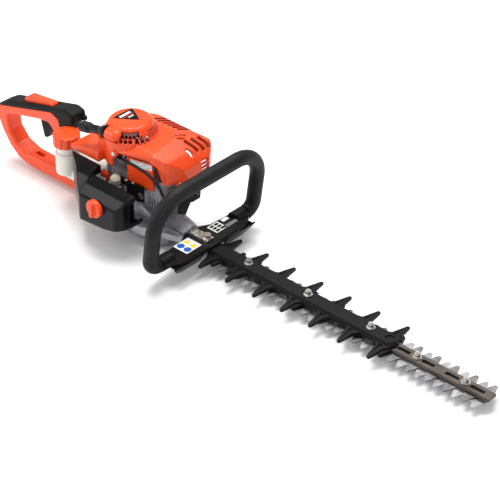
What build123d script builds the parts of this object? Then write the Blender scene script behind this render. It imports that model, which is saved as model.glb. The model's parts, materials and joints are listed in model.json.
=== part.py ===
from build123d import *
import os
from math import cos, radians, sin, tan

# Petrol hedge trimmer with a double-sided blade.  Millimetres.  +X points along the blade, +Y to the
# operator's left, +Z up.  The origin lies on the crankshaft axis, in the flat underside of the gear case.

# ---------------------------------------------------------------- driving dimensions
CRANK_THROW = 13.0           # half of the 26 mm stroke
BORE_R = 16.0                # cylinder bore radius
ROD_LENGTH = 38.0            # crankpin to wrist pin
CYL_Z = 78.0                 # height of the cylinder axis
SHAFT_R = 6.0                # main journals of the crankshaft
FIT = 0.05                   # radial clearance of a running fit
GAP = 0.3                    # clearance between parts that must not touch

GEAR_MODULE = 1.5
PINION_TEETH = 10
GEAR_TEETH = 50
PINION_X = 0.0
GEAR_X = PINION_X + GEAR_MODULE * (PINION_TEETH + GEAR_TEETH) / 2
CAM_THROW = 7.5              # each blade moves this far either way
CAM_R = 8.0

TOOTH_PITCH = 30.0
TOOTH_TIP = 26.5             # blade tooth tips from the centre line
SPINE_HALF = 10.0            # half width of blades and guide bar
BLADE_T = 1.9
LOWER_Z = 11.1               # underside of the lower blade
UPPER_Z = 13.1               # underside of the upper blade
BAR_Z = (15.2, 19.2)
BAR_X = (92.0, 638.0)
BOLT_X = (223.0, 331.0, 440.0, 518.0, 596.0)
COMB_BOLTS = 3               # the first bolts also hold the comb
COMB_Z = (19.3, 27.5)
COMB_TOOTH_X = [170.0 + 50.0 * i for i in range(7)]
COMB_TIP = 43.5

CASE_Z = 20.0                # joint plane between gear case and its cover
CASE_TOP = 52.0              # gear case meets crankcase
NECK_TOP = 28.0
PLATE_Z = (28.0, 32.0)       # front handle bracket
STRAP_Z = (32.0, 34.5)
STRAP_BOLT_X = (121.0, 145.0)

HANDLE_X = 135.0             # foot of the front handle loop
HANDLE_Z = 29.0
HANDLE_HALF = 104.0
HANDLE_RISE = 111.0
HANDLE_LEAN = 8.3            # degrees forward
TUBE_R = 8.0
SLEEVE_R = 11.0

FLYWHEEL_Z = (114.0, 134.0)
FLYWHEEL_R = 29.0
PULLEY_Z = (150.0, 161.0)
PULLEY_R = 22.0
ROPE_R = 19.5                # rope wound on the pulley
CORE_R = 15.0                # bottom of the pulley groove
DOME_TOP = 170.0
WALL = 2.4                   # moulded plastic walls
ROPE_Y = -34.0
ROPE_START = (-11.0, 157.5)  # X and Z of the rope outlet
PULL_SLOPE = 12.0            # degrees, the grip is drawn back and down

CAP_X, CAP_Y = -101.5, -31.0
CAP_TOP = 118.0
CAP_R = 20.0

CARB_Z = 79.0                # height of the carburettor bore
CASE_SCREWS = ((-24, -20), (-24, 20), (66, -33.5), (66, 33.5), (24, 33), (24, -33))
BULB_R = 7.5
BULB_PLACE = (13.0, -46.5)
KNOB_X, KNOB_Z = 17.0, 71.5
KNOB_R = 13.5
STUD_R = 2.5
COVER_FACE = -89.0           # outer face of the air filter cover

OUTLET_Y, OUTLET_Z = 44.0, 64.0

WRIST_X = ROD_LENGTH - CRANK_THROW
RING_X = (WRIST_X + 4.4, WRIST_X + 7.4)

# routes of the flexible pieces: corner points and the bend radius at each inner corner
LEAD_R = 2.2
LEAD_PATH = [(-38.5, -12, 119), (-38.5, -20, 119), (-20, -29.5, 121), (2, -32.2, 123), (24, -36, 126),
             (46, -37, 127), (68, -36, 123), (86, -34, 112), (95, -32, 92), (95, -24, 78), (95, -9, 78)]
LEAD_BENDS = [6, 20, 20, 30, 40, 30, 18, 10, 6]
HOSE_R = 2.4
FUEL_PATH = [(-57.8, -26, 60), (-46, -26, 60), (-36, -42, 68), (-16, -47, 68), (-0.3, -47, 68)]
FUEL_BENDS = [6, 10, 10]
CABLE_R = 2.0
THROTTLE_PATH = [(-134, 0, 112), (-134, 0, 15), (-53.3, 0, 15), (-53.3, -10, 48), (-40, -38, 55),
                 (-22, -49.5, 57.5), (-6, -49.5, 57.5)]
THROTTLE_BENDS = [12, 8, 10, 10, 10]

GRIP_TOP_SLOPE = 14.7        # degrees, the rear grip rises forward
MOUNT_X = -45.0              # rear handle bolts under the gear case ears
MOUNT_Y = (-9.5, 9.5)
TRIGGER_PIVOT = (-151.0, 108.0)
LOCKOUT_PIVOT = (-163.0, 123.0)


# ---------------------------------------------------------------- helpers
def block(x, y, z):
    """Box between two limits on each axis."""
    centre = ((x[0] + x[1]) / 2, (y[0] + y[1]) / 2, (z[0] + z[1]) / 2)
    return Pos(*centre) * Box(x[1] - x[0], y[1] - y[0], z[1] - z[0])


def post(radius, z, x=0.0, y=0.0):
    """Upright cylinder."""
    return Pos(x, y, (z[0] + z[1]) / 2) * Cylinder(radius, z[1] - z[0])


def rod_x(radius, x, y=0.0, z=0.0):
    """Cylinder along X."""
    return Pos((x[0] + x[1]) / 2, y, z) * Rot(0, 90, 0) * Cylinder(radius, x[1] - x[0])


def rod_y(radius, y, x=0.0, z=0.0):
    """Cylinder along Y."""
    return Pos(x, (y[0] + y[1]) / 2, z) * Rot(90, 0, 0) * Cylinder(radius, y[1] - y[0])


def outline(points):
    return make_face(Polyline(*points, close=True))


def rounded(points, radius):
    """Closed outline with every corner rounded by the same radius."""
    face = outline(points)
    return fillet(face.vertices(), radius) if radius else face


def plan(points, z, corner=0.0):
    """Upright prism from a plan outline."""
    return Pos(0, 0, z[0]) * extrude(rounded(points, corner), z[1] - z[0])


def side(points, y, corner=0.0):
    """Prism along Y from an outline in X and Z."""
    return extrude(Plane.XZ.offset(-y[1]) * rounded(points, corner), y[1] - y[0])


def section(points, x, corner=0.0):
    """Prism along X from an outline in Y and Z."""
    return extrude(Plane.YZ.offset(x[0]) * rounded(points, corner), x[1] - x[0])


def turned(points, x=0.0, y=0.0):
    """Solid of revolution about an upright axis from radius and height points."""
    face = Plane.XZ * outline(points)
    return Pos(x, y, 0) * revolve(face, Axis.Z)


def pipe(path, radius, inner=0.0):
    """Round bar or tube along a path."""
    ring = Circle(radius)
    if inner:
        ring = ring - Circle(inner)
    return sweep(Plane(origin=path @ 0, z_dir=path % 0) * ring, path=path)


def cable(points, bends, radius):
    return pipe(FilletPolyline(*points, radius=bends), radius)


def mirrored(shape):
    return mirror(shape, Plane.XZ)


def hex_nut(across, z, x=0.0, y=0.0):
    return Pos(x, y, z[0]) * extrude(RegularPolygon(across / 2, 6, major_radius=False), z[1] - z[0])


def gear_wheel(teeth, z, x, phase):
    """Spur gear with straight-sided teeth, one tooth at the phase angle in degrees."""
    pitch_r = GEAR_MODULE * teeth / 2
    step = radians(360 / teeth)
    points = []
    for i in range(teeth):
        middle = radians(phase) + i * step
        for share, radius in ((-0.30, -1.2), (-0.14, 0.95), (0.14, 0.95), (0.30, -1.2)):
            angle = middle + share * step
            reach = pitch_r + radius * GEAR_MODULE
            points.append((reach * cos(angle), reach * sin(angle)))
    return Pos(x, 0, 0) * plan(points, z)


# ---------------------------------------------------------------- cutting head
def blade_outline(near_tip, far_tip, first, last):
    """Spine with a row of teeth on each side; the tip positions are those of the first tooth pair."""
    def row(tip, side_sign):
        points = []
        for i in range(first, last + 1):
            x = tip + TOOTH_PITCH * i
            for dx, y in ((-8.6, SPINE_HALF), (-2.3, TOOTH_TIP), (2.3, TOOTH_TIP), (8.6, SPINE_HALF)):
                points.append((x + dx, side_sign * y))
        return points
    near = row(near_tip, -1)
    far = row(far_tip, 1)
    rear_x = GEAR_X + 22.0
    tip_x = max(near[-1][0], far[-1][0]) + 1.0
    return ([(rear_x, -SPINE_HALF)] + near + [(tip_x, -SPINE_HALF), (tip_x, SPINE_HALF)]
            + far[::-1] + [(rear_x, SPINE_HALF)])


def blade(near_tip, far_tip, z0):
    z = (z0, z0 + BLADE_T)
    body = plan(blade_outline(near_tip, far_tip, 0, 14), z)
    roots = body.edges().filter_by(Axis.Z).filter_by(lambda e: abs(abs(e.center().Y) - SPINE_HALF) < 0.1
                                                     and 160 < e.center().X < near_tip + 14.0 * TOOTH_PITCH)
    body = fillet(roots, 3.0)
    sweep_r = CAM_THROW + CAM_R
    half_x = sweep_r + CAM_THROW + 0.6
    yoke = Pos(GEAR_X, 0, z0) * extrude(RectangleRounded(2 * half_x + 7, 38, 8), BLADE_T)
    window = Pos(GEAR_X, 0, z0) * extrude(RectangleRounded(2 * half_x, 2 * sweep_r + 1.2, 7), BLADE_T)
    body = body + yoke - window
    for x in BOLT_X:
        body -= Pos(x, 0, z0) * extrude(SlotOverall(2 * CAM_THROW + 10.2, 9.6), BLADE_T)
    return body


def upper_blade():
    return blade(190.9, 205.4, UPPER_Z)


def lower_blade():
    return blade(205.4, 190.9, LOWER_Z)


def guide_bar():
    bar = block(BAR_X, (-SPINE_HALF, SPINE_HALF), BAR_Z)
    corners = bar.edges().filter_by(Axis.Z).group_by(Axis.X)[-1]
    bar = fillet(corners, 2.5)
    for x in BOLT_X:
        bar -= post(3.05, BAR_Z, x)
    for x0, x1 in ((486, 506), (526, 546), (564, 585), (604, 626)):
        bar -= Pos((x0 + x1) / 2, 0, BAR_Z[0]) * extrude(RectangleRounded(x1 - x0, 6.4, 1.2), 4.0)
    for x in STRAP_BOLT_X:
        bar -= post(3.05, BAR_Z, x)
    groove = block((486, BAR_X[1]), (SPINE_HALF - 1.6, SPINE_HALF), (BAR_Z[1] - 1.2, BAR_Z[1]))
    return bar - groove - mirrored(groove)


def comb_tooth(x):
    """One big tooth towards +Y: swept root, blunt tip, and a groove between two ridges."""
    root = 10.5
    tooth = plan([(x - 16, root), (x - 7.5, 17), (x - 2.2, COMB_TIP), (x + 2.2, COMB_TIP),
                  (x + 5.5, 20), (x + 12, root)], (17.2, 23.2))
    tip = tooth.edges().filter_by(Axis.Z).filter_by(lambda e: e.center().Y > COMB_TIP - 1)
    tooth = fillet(tip, 1.9)
    groove = plan([(x - 4.2, 14), (x - 0.5, COMB_TIP - 5), (x + 0.5, COMB_TIP - 5), (x + 2.4, 14)], (21.4, 23.2))
    relief = section([(COMB_TIP + 1, 24), (COMB_TIP + 1, 20.4), (14, 23.3), (14, 24)], (x - 18, x + 14))
    return tooth - groove - relief


def comb():
    x0, x1 = 158.5, 481.0
    channel = section([(-12.5, COMB_Z[0]), (-12.5, 23), (-10, COMB_Z[1]), (10, COMB_Z[1]),
                       (12.5, 23), (12.5, COMB_Z[0])], (x0, x1 - 9))
    nose = turned([(0, COMB_Z[0]), (12.5, COMB_Z[0]), (12.5, 23), (10, COMB_Z[1]), (0, COMB_Z[1])], x1 - 9)
    body = channel + nose - post(6.5, (25.5, COMB_Z[1]), x1 - 9)
    for x in COMB_TOOTH_X:
        tooth = comb_tooth(x)
        body += [tooth, mirrored(tooth)]
    for x, tip in ((180, -29), (208, -29), (327, -29), (478, -28), (195, 23), (225, 23), (375, 23), (478, 23)):
        root = 10 if tip > 0 else -10
        body += plan([(x - 6, root), (x - 2, tip), (x + 2, tip), (x + 6, root)], (17.2, 20.4))
    body -= block((x0 - 30, x1 + 20), (-SPINE_HALF - 0.3, SPINE_HALF + 0.3), (10.0, COMB_Z[0]))
    body -= block((x0 - 30, x0), (-50, 50), (10, 30))
    for x in BOLT_X[:COMB_BOLTS]:
        body -= post(3.05, COMB_Z, x)
    return body


def bolt_seat(i):
    """Height of the surface that the nut of bolt i clamps."""
    return COMB_Z[1] if i < COMB_BOLTS else BAR_Z[1]


def blade_bolts():
    bolts = []
    for i, x in enumerate(BOLT_X):
        shank = post(3.0, (9.4, bolt_seat(i) + 8.5), x)
        collar = post(4.5, (LOWER_Z - 0.1, BAR_Z[0]), x)
        head = post(6.0, (7.8, 9.4), x) + hex_nut(9.0, (5.8, 7.8), x)
        bolts.append(shank + collar + head)
    return bolts


def blade_nuts():
    """Flanged nuts on top and a broad washer under each bolt."""
    nuts = [post(8.5, (9.4, LOWER_Z - 0.1), x) - post(3.0, (9.4, LOWER_Z), x) for x in BOLT_X]
    for i, x in enumerate(BOLT_X):
        seat = bolt_seat(i)
        nut = post(6.2, (seat, seat + 1.6), x) + hex_nut(8.0, (seat + 1.6, seat + 6.5), x)
        nuts.append(nut - post(3.0, (seat, seat + 7), x))
    return nuts


# ---------------------------------------------------------------- gear case
def case_plan(r_gear, r_drum):
    return Pos(GEAR_X, 0, 0) * Circle(r_gear) + Circle(r_drum)


def gear_case():
    body = Pos(0, 0, CASE_Z) * extrude(case_plan(42.5, 36), 12)
    body += post(36, (CASE_Z, CASE_TOP))
    shoulder = side([(GEAR_X - 30, 32), (GEAR_X - 30, CASE_TOP), (34, CASE_TOP), (62, 38), (78, 32)], (-20, 20))
    body += shoulder
    neck = plan([(60, -30), (84, -26), (110, -18.5), (157, -16), (157, 16), (110, 18.5), (84, 26), (60, 30)],
                (BAR_Z[1], NECK_TOP))
    body += neck - block((0, 88), (-45, 45), (BAR_Z[1] - 1, CASE_Z))
    ridge = side([(60, 27), (60, 37), (80, 33.5), (109, 32), (111, 27)], (-12, 12))
    body += ridge
    for y in (-15.5, 15.5):
        body += side([(70, 27), (70, 33), (106, 31), (106, 27)], (y - 1.2, y + 1.2))
    for y in MOUNT_Y:
        body += block((-50.5, -25), (y - 5, y + 5), (26, 33))
        body -= post(2.5, (20, 35), MOUNT_X, y)
    body -= post(32.5, (30.5, CASE_TOP + 1))
    body -= post(39.8, (CASE_Z - 1, 29), GEAR_X)
    body -= post(10.5, (CASE_Z - 1, 31), PINION_X)
    body -= post(5 + FIT, (28, 33.5), GEAR_X)
    for x in STRAP_BOLT_X:
        body -= post(3.05, (BAR_Z[1] - 1, NECK_TOP + 6), x)
    return body


def gear_case_cover():
    """Dish under the gears; its flat underside is what the machine stands on."""
    flange = Pos(0, 0, 17.4) * extrude(case_plan(42.0, 35.5), CASE_Z - 17.4)
    dish_plan = [(-19, -17), (18, -29), (62, -29), (77, -25.5), (84, -15.5), (84, 15.5), (77, 25.5), (62, 29),
                 (18, 29), (-19, 17)]
    dish = plan(dish_plan, (0, 17.4))
    dish = fillet(dish.edges().filter_by(Axis.Z), 3)
    dish = chamfer(dish.faces().sort_by(Axis.Z)[0].edges(), 2)
    inner = plan([(-12, -12), (17, -25), (62, -25), (74, -22), (81, -14), (81, 14), (74, 22), (62, 25),
                  (17, 25), (-12, 12)], (3.5, CASE_Z))
    body = flange + dish - inner
    body += post(9, (3.5, 10.4), GEAR_X) + post(8, (3.5, 10.4), PINION_X)
    body -= post(5 + FIT, (2.5, 11), GEAR_X)
    body -= post(5 + FIT, (2.5, 11), PINION_X)
    body -= block((70, 90), (-SPINE_HALF - 1, SPINE_HALF + 1), (10.4, 18.0))
    for x, y in CASE_SCREWS:
        body -= post(2.05, (10, CASE_Z), x, y)
    return body


def clutch_drum():
    """Bell with the pinion below it on one shaft."""
    bell = post(30, (31.2, 48)) - post(27.5, (33.2, 48))
    pinion = gear_wheel(PINION_TEETH, (20.6, 28.8), PINION_X, 180 / PINION_TEETH)
    return bell + pinion + post(5, (5, 34))


def cam_gear():
    """Driven gear with the two opposed eccentrics that work the blades."""
    wheel = gear_wheel(GEAR_TEETH, (21.0, 28.0), GEAR_X, 180.0)
    for angle in range(0, 360, 60):
        wheel -= post(5.5, (21, 28), GEAR_X + 22 * cos(radians(angle)), 22 * sin(radians(angle)))
    shaft = post(5, (4, 33), GEAR_X) + post(9, (16, 21), GEAR_X)
    upper_cam = post(CAM_R, (UPPER_Z + 0.15, 16), GEAR_X, CAM_THROW)
    lower_cam = post(CAM_R, (LOWER_Z + 0.15, UPPER_Z - 0.05), GEAR_X, -CAM_THROW)
    return wheel + shaft + upper_cam + lower_cam + post(5, (LOWER_Z, 16), GEAR_X)


# ---------------------------------------------------------------- engine
def crankcase_half(z):
    body = post(30, z)
    for angle in (45, 135, 225, 315):
        body += post(5, z, 31 * cos(radians(angle)), 31 * sin(radians(angle)))
    body += block((0, 36), (-27, 27), z)
    body -= post(25, (60, 96))
    body -= rod_x(18.6, (0, 40), 0, CYL_Z)
    return body - post(11.0, (40, 110))


def crankcase_lower():
    return crankcase_half((CASE_TOP, CYL_Z))


def crankcase_upper():
    return crankcase_half((CYL_Z, 100)) + post(14.5, (100, 105)) - post(11.0, (40, 110))


def bearing(z):
    """Ball bearing drawn as two races with balls between."""
    outer = post(11.0, z) - post(9.2, z)
    inner = post(7.6, z) - post(SHAFT_R, z)
    web = post(9.3, (z[0] + 2.2, z[1] - 2.2)) - post(7.5, (z[0] + 2.2, z[1] - 2.2))
    return outer + inner + web


def crank_bearings():
    return [bearing((53, 60)) , bearing((97, 104))]


def crankshaft():
    """Two webs on their half shafts; the pin between them is carried by the connecting rod."""
    web = post(20, (66, 74)) & block((-20, 20), (-12, 12), (66, 74))
    lower = web + post(SHAFT_R - FIT, (38, 67))
    upper = Pos(0, 0, 16) * web + post(SHAFT_R - FIT, (89, 145))
    seat = FLYWHEEL_Z[0] + 10
    nut = hex_nut(14, (seat, seat + 8)) - post(SHAFT_R - FIT, (seat, seat + 8))
    return [lower, upper, nut]


def clutch_shoes():
    """Two friction shoes on the lower end of the crankshaft."""
    ring = post(26.2, (36, 46)) - post(12, (36, 46))
    halves = ring - block((-30, 30), (-2, 2), (36, 46))
    hub = post(11.6, (38, 44)) - post(SHAFT_R - FIT, (38, 44))
    arms = block((-14, 14), (-1.9, 1.9), (38.5, 43.5)) - post(11, (38, 44))
    return halves + hub + arms


def flywheel():
    """Magneto flywheel with fan vanes on top."""
    low, high = FLYWHEEL_Z
    disc = post(FLYWHEEL_R, (low, low + 6)) + post(11, (low - 6, low + 10))
    for i in range(14):
        vane = Rot(0, 0, 360 / 14 * i) * Pos(20, 0, 0) * Rot(0, 0, 28) * block((-8, 8), (-0.9, 0.9), (low + 5, high))
        disc += vane
    return disc - post(SHAFT_R - FIT, (100, 140))


def cylinder():
    body = rod_x(21.5, (36.2, 74), 0, CYL_Z)
    for i in range(7):
        x = 41 + 5.2 * i
        fin = block((x, x + 1.8), (-22, 22), (CYL_Z - 25, CYL_Z + 25))
        body += fillet(fin.edges().filter_by(Axis.X), 7)
    flange = block((36.2, 40), (-22, 22), (CYL_Z - 24, CYL_Z + 24))
    body += fillet(flange.edges().filter_by(Axis.X), 6)
    body += rod_x(18.4, (27, 36.5), 0, CYL_Z)
    body += block((42, 56), (-32, -18), (CYL_Z - 9, CYL_Z + 9)) + block((46, 62), (18, 33), (CYL_Z - 10, CYL_Z + 10))
    body -= rod_x(BORE_R, (20, 62), 0, CYL_Z) + Pos(62, 0, CYL_Z) * Sphere(BORE_R - 6)
    body -= rod_x(7, (60, 80), 0, CYL_Z)
    return body - rod_y(5.5, (-34, -10), 49, CYL_Z) - rod_y(6, (10, 34), 54, CYL_Z)


def piston():
    """At bottom dead centre, its crown ten millimetres past the wrist pin."""
    body = rod_x(BORE_R - FIT, (WRIST_X - 4.6, WRIST_X + 10), 0, CYL_Z)
    for x in RING_X:
        body -= rod_x(BORE_R, (x, x + 1.4), 0, CYL_Z) - rod_x(13.6, (x - 1, x + 3), 0, CYL_Z)
    body -= rod_x(12.4, (WRIST_X - 5, WRIST_X + 7.2), 0, CYL_Z)
    return body + post(4.0, (CYL_Z - 14.8, CYL_Z + 14.8), WRIST_X)


def piston_rings():
    return [rod_x(BORE_R - FIT, (x + 0.1, x + 1.3), 0, CYL_Z) - rod_x(13.7, (x, x + 2), 0, CYL_Z) for x in RING_X]


def con_rod():
    """Rod with the crankpin pressed in its big end; the pin stops short of both webs."""
    shank = block((-CRANK_THROW + 7, WRIST_X - 5), (-3, 3), (CYL_Z - 2.2, CYL_Z + 2.2))
    big = post(8.5, (CYL_Z - 3.6, CYL_Z + 3.6), -CRANK_THROW)
    small = post(6.6, (CYL_Z - 4, CYL_Z + 4), WRIST_X) - post(4.0 + FIT, (CYL_Z - 5, CYL_Z + 5), WRIST_X)
    return big + shank + small


def spark_plug():
    body = rod_x(6.95, (63, 74), 0, CYL_Z) + rod_x(9, (74.2, 76), 0, CYL_Z)
    hexagon = Pos(76, 0, CYL_Z) * Rot(0, 90, 0) * extrude(RegularPolygon(9.5, 6, major_radius=False), 7)
    return body + hexagon + rod_x(5, (83, 96), 0, CYL_Z) + rod_x(3, (96, 100), 0, CYL_Z)


def plug_boot():
    boot = rod_x(8.5, (84.5, 103), 0, CYL_Z) + rod_y(6.0, (-17, 0), 95, CYL_Z)
    boot -= rod_x(5.0, (84, 96), 0, CYL_Z) + rod_x(3.0, (95, 100), 0, CYL_Z)
    return boot - rod_y(LEAD_R, (-18, -8.5), 95, CYL_Z)


def ignition_coil():
    """Coil on a laminated core whose legs face the flywheel rim."""
    core = block((-41, -35), (-13, 13), (113, 121))
    legs = block((-36, -29.5), (-13, -8), (113, 121)) + block((-36, -29.5), (8, 13), (113, 121))
    winding = block((-43, -33), (-6.5, 6.5), (110, 124)) + block((-41, -36), (-15, -6), (115, 123))
    return core + winding + legs - rod_y(LEAD_R, (-16, -10), -38.5, 119)


def ignition_lead():
    return cable(LEAD_PATH, LEAD_BENDS, LEAD_R)


def muffler():
    can = fillet(block((40, 79), (36, 56.5), (54, 100)).edges(), 6)
    inlet = block((46, 62), (33.2, 36.5), (CYL_Z - 10, CYL_Z + 10))
    outlet = rod_x(4.5, (78, 87), OUTLET_Y, OUTLET_Z) - rod_x(3.2, (77, 88), OUTLET_Y, OUTLET_Z)
    return can + inlet + outlet


def muffler_guard():
    """Shell round the muffler with a pointed plate at the lower front."""
    outer = plan([(36, 33), (84, 33), (84, 50), (76, 60), (36, 60)], (50, 103), 2)
    inner = plan([(34, 30), (81.8, 30), (81.8, 49.1), (75, 57.6), (34, 57.6)], (52.4, 105))
    nose = section([(6, 43), (21, 37), (34, 56), (34, 100), (14, 100), (6, 90)], (82, 84), 1.5)
    nose -= rod_x(12.5, (81, 85), 0, CYL_Z)
    body = outer - inner + nose
    for i in range(5):
        body -= Pos(43 + 7.5 * i, 59, 77) * Rot(0, 20, 0) * Box(3.2, 6, 32)
    return body - rod_x(7, (80, 90), OUTLET_Y, OUTLET_Z)


# ---------------------------------------------------------------- fuel and air
def intake_insulator():
    body = plan([(0, -39.5), (28, -39.5), (56, -32.2), (42, -32.2), (36, -34), (0, -34)], (68, 95))
    body -= post(BULB_R + 0.7, (86, 96), *BULB_PLACE)
    return body - rod_y(5.5, (-39, -30), 49, CYL_Z) - rod_y(5.0, (-41, -36.5), 14, CARB_Z)


def carburettor():
    body = block((0, 28), (-54.8, -39.7), (62, 88))
    body -= block((-1, 3), (-50, -43), (60, 74)) + block((25, 29), (-50, -43), (60, 90))
    body += post(BULB_R + 0.3, (87, 93.5), *BULB_PLACE)
    body += rod_x(3, (24, 33), -46, 68) + rod_x(2, (-9, 1), -44, 80)
    return body - rod_y(5, (-60, -30), 14, CARB_Z)


def choke_lever():
    arm = block((-7, -4), (-46, -42), (80, 96))
    pad = fillet(block((-17, -5), (-47, -41), (90, 98)).edges().filter_by(Axis.Y), 2)
    return arm + pad + rod_x(4, (-7, -4), -44, 80) - rod_x(2 + FIT, (-7.5, -3.5), -44, 80)


def purge_bulb():
    x, y = BULB_PLACE
    bulb = Pos(x, y, 97) * Sphere(BULB_R) & block((x - 10, x + 10), (y - 10, y + 10), (97, 107))
    return bulb + post(BULB_R, (96.4, 97), x, y)


def throttle_arm():
    """Arm below the carburettor that the throttle cable turns."""
    lever = plan([(-3, -50.5), (8, -50.5), (8, -47), (2, -47)], (56, 59))
    return lever + post(3, (56, 61.9), 5, -47)


def air_filter_base():
    plate = fillet(block((-36, 58), (-58, -55), (50, 86)).edges().filter_by(Axis.Y), 8)
    tray = block((-30, 52), (-60, -58), (54, 84))
    stud = rod_y(STUD_R, (COVER_FACE + 3, -60), KNOB_X, KNOB_Z)
    return plate + tray + stud - rod_y(4.6, (-61, -54), 14, CARB_Z)


def air_filter_element():
    body = fillet(block((-27, 50), (-75, -60.2), (55, 84)).edges().filter_by(Axis.Y), 7)
    return body - rod_y(5, (-78, -58), KNOB_X, KNOB_Z)


def cover_solid(inset):
    """Outer form of the air filter cover, or the same form drawn in by the wall."""
    c = inset
    face = COVER_FACE + c
    foot = [(-127 + c, -10), (-46 + c, -66 + c), (-19 + c, face), (52 - c / 2, face), (63 - c, -82 + c),
            (67 - c, -70), (67 - c, -10)]
    tall = plan(foot, (20 + c, 110 - c), 12 - c) & block((-80, 70), (-95, -48), (0, 120))
    floor = side([(-80, 41 + c), (-20, 37 + c), (30, 41 + c), (70, 51 + c), (70, 115), (-80, 115)], (-95, -40))
    front = section([(-30, 101 - c), (-62, 100 - c), (-78 + c / 3, 94 - c), (face - 1, 78 - c / 2), (face - 1, 0),
                     (-30, 0)], (-16 - c, 72), 19 - c)
    rear = section([(-30, 109.5 - c), (-58, 109 - c), (-72 + c / 2, 99 - c), (face - 1, 78 - c / 2), (face - 1, 0),
                    (-30, 0)], (-80, -14 - c), 15 - c)
    return tall & floor & (front + rear)


def air_filter_cover():
    body = cover_solid(0.0) - cover_solid(WALL)
    body -= block((-13, 70), (-62, -40), (85, 115))
    body -= block((60, 70), (-71, -40), (56, 90))
    body -= rod_y(4.2, (-100, -80), KNOB_X, KNOB_Z)
    for row in range(8):
        for col in range(2):
            slot = block((-1.8, 1.8), (-5, 5), (-1.6, 1.6))
            spot = (-53 + 12 * col, -61.6 - 8.2 * col, 49 + 6.4 * row)
            body -= Pos(*spot) * Rot(0, 0, -34) * slot
    return body


def cover_knob():
    knob = rod_y(KNOB_R, (COVER_FACE - 7.5, COVER_FACE - GAP), KNOB_X, KNOB_Z)
    rim = knob.edges().sort_by(Axis.Y)[0]
    knob = fillet(rim, 2)
    bar = block((KNOB_X - 3, KNOB_X + 3), (COVER_FACE - 12, COVER_FACE - 7), (KNOB_Z - 11, KNOB_Z + 11))
    bar = fillet(bar.edges().filter_by(Axis.Y), 2.5)
    stem = rod_y(4, (COVER_FACE - 2, COVER_FACE + 4.5), KNOB_X, KNOB_Z)
    return knob + bar + stem - rod_y(STUD_R + FIT, (COVER_FACE + 2.6, COVER_FACE + 7), KNOB_X, KNOB_Z)


def fuel_tank():
    base = section([(-40, 66), (-40, 50), (-16, 26), (16, 26), (40, 50), (40, 66)], (-116, -56))
    base = fillet(base.edges(), 7)
    boss = post(18, (56, 90), CAP_X, CAP_Y)
    boss = fillet(boss.edges().sort_by(Axis.Z)[-1], 4)
    neck = post(15, (89, 106), CAP_X, CAP_Y)
    hollow = section([(-38, 64), (-38, 51), (-15, 28), (15, 28), (38, 51), (38, 64)], (-114, -58))
    hollow = fillet(hollow.edges(), 5)
    body = base + boss + neck - hollow - post(16, (56, 88), CAP_X, CAP_Y)
    return body - post(12.5, (80, 107), CAP_X, CAP_Y) - rod_x(HOSE_R + FIT, (-60, -50), -26, 60)


def fuel_cap():
    cap = post(CAP_R, (101, CAP_TOP), CAP_X, CAP_Y)
    cap = fillet(cap.edges().sort_by(Axis.Z)[-1], 1.6)
    for i in range(12):
        angle = radians(30 * i)
        cap -= post(2.8, (101, CAP_TOP - 1), CAP_X + 21.5 * cos(angle), CAP_Y + 21.5 * sin(angle))
    cap -= post(15.4, (101, 106.5), CAP_X, CAP_Y)
    plug = post(12.5 - FIT, (100, 107), CAP_X, CAP_Y)
    return cap + plug


def fuel_line():
    return cable(FUEL_PATH, FUEL_BENDS, HOSE_R)


def throttle_cable():
    return cable(THROTTLE_PATH, THROTTLE_BENDS, CABLE_R)


# ---------------------------------------------------------------- engine cover and starter
HOOD_TOP = 151.0
HOOD_RIM = 104.0             # lower rim at the front and on the far side
REAR_RIM = 111.0             # lower rim behind and above the air filter
ARCH_Z = 137.0               # lower rim above the spark plug lead


def hood_solid(inset):
    """Outer form of the hood over the engine, or the same form drawn in by the wall."""
    c = inset
    foot = plan([(-49 + c, 0), (-46 + c, -20), (-31, -34 + c), (0, -38 + c), (16, -38 + c), (72, -26 + c),
                 (86 - c, -19 + c), (101 - c, 11), (99 - c, 54 - c), (90 - c, 69 - c), (40, 73 - c),
                 (-2, 66 - c), (-36 + c, 42 - c), (-48 + c, 22)], (60, 170), 10 - c)
    long_profile = side([(-60, 60), (110, 60), (101 - c, 105), (98 - c, 122), (88 - c, 138 - c), (60, HOOD_TOP - c),
                         (-34, HOOD_TOP - c), (-52, 142 - c), (-62, 138 - c)], (-40, 80), 10 - c)
    across = section([(-42, 60), (-42, 131 - c), (-36, 140 - c), (-22, 148 - c), (36, HOOD_TOP - c),
                      (62, 146 - c), (77 - c, 134), (78 - c, 60)], (-60, 110), 12 - c)
    return foot & long_profile & across


def dome(inset):
    c = inset
    return turned([(0, 110), (40 - c, 110), (40 - c, 150), (36 - c, 159 - c / 2), (31.5 - c, 167 - c),
                   (27.5 - c, DOME_TOP - c), (0, DOME_TOP - c)])


def grip_place():
    """Place of the grip's front face, its length running back and down."""
    return Pos(ROPE_START[0] - 1.6, ROPE_Y, ROPE_START[1]) * Rot(0, -90 - PULL_SLOPE, 0)


def grip_space(inset):
    """Trough in which the starter grip lies, the wall drawn in with the rest of the cover."""
    trough = turned([(0, -0.4 - inset), (9.9 + inset, -0.4 - inset), (9.9 + inset, 90), (0, 90)])
    return grip_place() * trough


def below_rim():
    """Space below the stepped lower rim of the cover."""
    space = block((-90, 120), (-60, 90), (50, HOOD_RIM)) + block((-90, 8), (-60, 90), (50, REAR_RIM))
    arch = side([(2, 50), (2, ARCH_Z - 9), (10, ARCH_Z - 2), (60, ARCH_Z), (74, 131), (83, 100), (83, 50)],
                (-60, -8))
    return space + arch


def radial_slots(radius, z, size, angles):
    """Cutting blocks set round the starter dome, leaning with its side."""
    return [Rot(0, 0, a) * Pos(radius, 0, z) * Rot(0, 24, 0) * Box(*size) for a in angles]


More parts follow.
